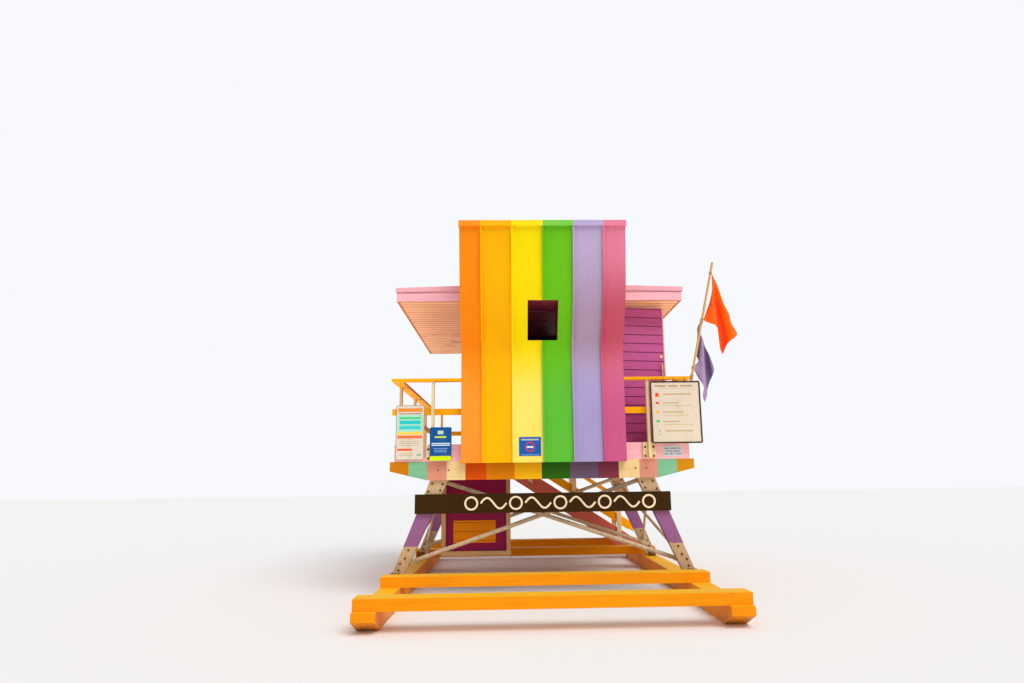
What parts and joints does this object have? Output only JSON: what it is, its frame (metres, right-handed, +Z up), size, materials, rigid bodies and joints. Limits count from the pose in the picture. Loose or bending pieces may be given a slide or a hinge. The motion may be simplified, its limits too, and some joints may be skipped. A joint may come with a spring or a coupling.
{
  "type": "beach lifeguard tower",
  "caption": "Timber beach lifeguard tower on a sled, with splayed legs, railed deck, stair, cabin with an opening door, flat roof and a tall wave-shaped metal wall.",
  "frame": {"origin": "on the ground, under the middle of the whole tower's box, flags included", "axes": "+X to the right seen from the land side, +Y from the land side to the sea side, +Z up"},
  "size_m": [5.0336, 7.318, 5.105],
  "materials": {
    "sled_orange": "painted timber, satin, worn on the edges",
    "leg_purple": "painted timber, satin",
    "pipe": "galvanised pipe with old cream paint",
    "board_brown": "dark stained board, satin",
    "beam_blocks": "timber beam painted in blocks of colour",
    "joist_wood": "weathered timber",
    "rim_pink": "painted timber, satin",
    "deck_wood": "weathered deck boards",
    "rail_orange": "painted timber, satin",
    "post_cream": "painted timber, satin",
    "cabin_purple": "painted lap siding, satin",
    "stripe_orange": "painted sheet metal, satin",
    "stripe_amber": "painted sheet metal, satin",
    "stripe_yellow": "painted sheet metal, satin",
    "stripe_green": "painted sheet metal, satin",
    "stripe_lilac": "painted sheet metal, satin",
    "stripe_pink": "painted sheet metal, satin",
    "frame_wood": "painted timber frames",
    "cap_metal": "folded sheet metal, painted",
    "lining_maroon": "painted timber lining",
    "soffit_peach": "painted boards, satin",
    "fascia_pink": "painted timber, satin",
    "roof_skin": "painted sheet metal roof",
    "hardware_steel": "weathered steel",
    "locker_cream": "painted timber, weathered",
    "locker_plum": "painted plywood, satin",
    "locker_orange": "painted boards, satin",
    "stringer_salmon": "painted timber, satin",
    "tread_wood": "weathered treads",
    "pole_wood": "bare wooden pole",
    "flag_orange": "woven flag cloth",
    "flag_purple": "woven flag cloth",
    "sign_plate": "printed aluminium plate"
  },
  "bodies": {
    "tower": {"skid_left": "sled_orange", "skid_right": "sled_orange", "cross_beams_land": "sled_orange", "cross_beams_sea": "sled_orange", "leg_land_left": "leg_purple", "leg_land_right": "leg_purple", "leg_sea_left": "leg_purple", "leg_sea_right": "leg_purple", "brace_land": "pipe", "brace_sea": "pipe", "brace_left": "pipe", "brace_right": "pipe", "name_board": "board_brown", "deck_beam_land": "beam_blocks", "deck_beam_sea": "beam_blocks", "deck_joists": "joist_wood", "deck_rim_long": "rim_pink", "deck_rim_short": "rim_pink", "deck_floor": "deck_wood", "railing_land": "rail_orange", "railing_left": "rail_orange", "railing_right": "rail_orange", "railing_sea": "rail_orange", "cabin_wall_land": "cabin_purple", "cabin_wall_left": "cabin_purple", "cabin_wall_sea": "cabin_purple", "cabin_wall_right": "cabin_purple", "cabin_door_head": "cabin_purple", "wave_panel_1": "stripe_orange", "wave_panel_2": "stripe_amber", "wave_panel_3": "stripe_yellow", "wave_panel_4": "stripe_green", "wave_panel_5": "stripe_lilac", "wave_panel_6": "stripe_pink", "wave_frames": "frame_wood", "wave_cap": "cap_metal", "window_lining": "lining_maroon", "roof_soffit": "soffit_peach", "roof_fascia_long": "fascia_pink", "roof_fascia_short": "fascia_pink", "roof_top": "roof_skin", "door_hinges": "hardware_steel", "locker_frame": "locker_cream", "locker_case": "locker_plum", "locker_front": "locker_orange", "stair_stringers": "stringer_salmon", "stair_treads": "tread_wood", "stair_rail_near": "rail_orange", "stair_rail_far": "rail_orange", "stair_landing": "rim_pink", "flag_pole": "pole_wood", "flag_orange": "flag_orange", "flag_purple": "flag_purple"},
    "door": {"door_leaf": "cabin_purple", "door_hardware": "hardware_steel"}
  },
  "joints": [
    {"name": "door_swing", "type": "hinge", "parent": "tower", "child": "door", "pos_m": [0.6542, -1.2915, 2.089], "axis": [0, 0, 1], "range_deg": [0, 80]}
  ]
}
